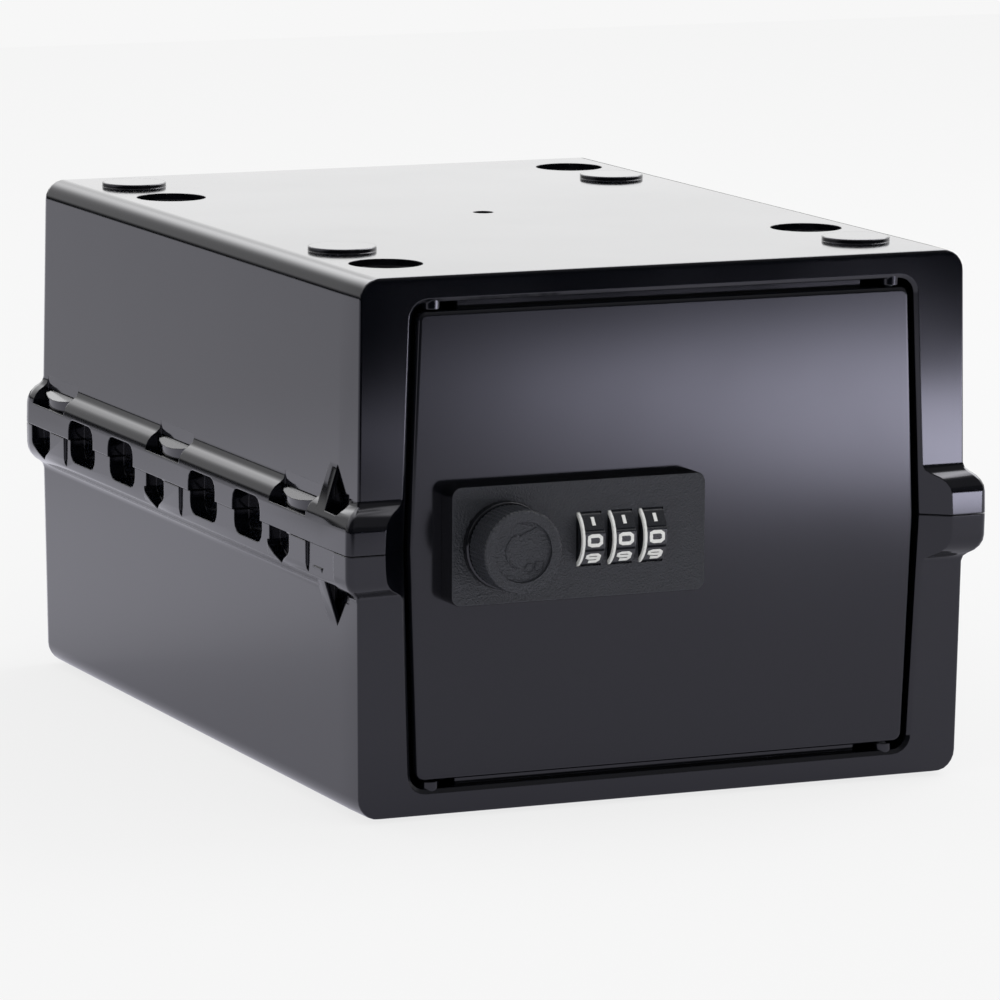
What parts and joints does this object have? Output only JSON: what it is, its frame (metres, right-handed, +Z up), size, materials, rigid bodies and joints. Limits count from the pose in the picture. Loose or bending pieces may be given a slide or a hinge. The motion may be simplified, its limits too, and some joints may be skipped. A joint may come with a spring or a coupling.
{
  "type": "lockable storage box",
  "caption": "Stackable black plastic storage box of two half shells clipped at a belt, with a hinged front door and a combination lock with a turning knob.",
  "frame": {"origin": "middle of the bounding box's footprint, on the surface that the box stands on", "axes": "+X to the right of someone facing the door, +Y from the door to the back, +Z up"},
  "size_m": [0.2106, 0.3018, 0.1633],
  "materials": {
    "shell_plastic": "high gloss moulded black",
    "door_plastic": "gloss moulded black",
    "lock_plastic": "fine spark-eroded grain, black",
    "collar_plastic": "gloss moulded black",
    "dial_plastic": "black with white printed numbers",
    "steel": "zinc plated",
    "zinc": "die cast",
    "brass": "turned"
  },
  "bodies": {
    "box": {"upper_shell": "shell_plastic", "lower_shell": "shell_plastic", "hinge_pin_upper": "steel", "hinge_pin_lower": "steel"},
    "door": {"door_panel": "door_plastic", "lock_faceplate": "lock_plastic", "knob_collar": "collar_plastic", "dial_axle": "steel", "lock_housing": "lock_plastic", "detent_spring": "steel", "lock_screw_left": "steel", "lock_screw_right": "steel"},
    "knob": {"lock_knob": "lock_plastic", "lock_spindle": "zinc", "lock_cam": "steel", "cam_washer": "steel", "cam_screw": "steel"},
    "wheel_1": {"dial_1": "dial_plastic", "code_sleeve_1": "brass"},
    "wheel_2": {"dial_2": "dial_plastic", "code_sleeve_2": "brass"},
    "wheel_3": {"dial_3": "dial_plastic", "code_sleeve_3": "brass"},
    "bar": {"lock_bar": "steel"},
    "code_lever": {"code_change_lever": "steel"}
  },
  "joints": [
    {"name": "door_swing", "type": "hinge", "parent": "box", "child": "door", "pos_m": [0.075, -0.12575, 0.08165], "axis": [0, 0, 1], "range_deg": [0, 110]},
    {"name": "knob_turn", "type": "hinge", "parent": "door", "child": "knob", "pos_m": [-0.056, -0.12995, 0.08255], "axis": [0, 1, 0], "range_deg": [0, 90]},
    {"name": "wheel_1_turn", "type": "hinge", "parent": "door", "child": "wheel_1", "pos_m": [-0.0287, -0.13115, 0.08255], "axis": [1, 0, 0], "continuous": true},
    {"name": "wheel_2_turn", "type": "hinge", "parent": "door", "child": "wheel_2", "pos_m": [-0.01865, -0.13115, 0.08255], "axis": [1, 0, 0], "continuous": true},
    {"name": "wheel_3_turn", "type": "hinge", "parent": "door", "child": "wheel_3", "pos_m": [-0.0086, -0.13115, 0.08255], "axis": [1, 0, 0], "continuous": true},
    {"name": "bar_slide", "type": "slide", "parent": "door", "child": "bar", "axis": [0, 1, 0], "range_m": [0, 0.0015]},
    {"name": "code_lever_turn", "type": "hinge", "parent": "door", "child": "code_lever", "pos_m": [-0.0072, -0.11595, 0.09285], "axis": [0, 1, 0], "range_deg": [0, 45]}
  ],
  "couplings": [
    {"joint": "bar_slide", "follows": "knob_turn", "m_per_rad": 0.000954}
  ]
}
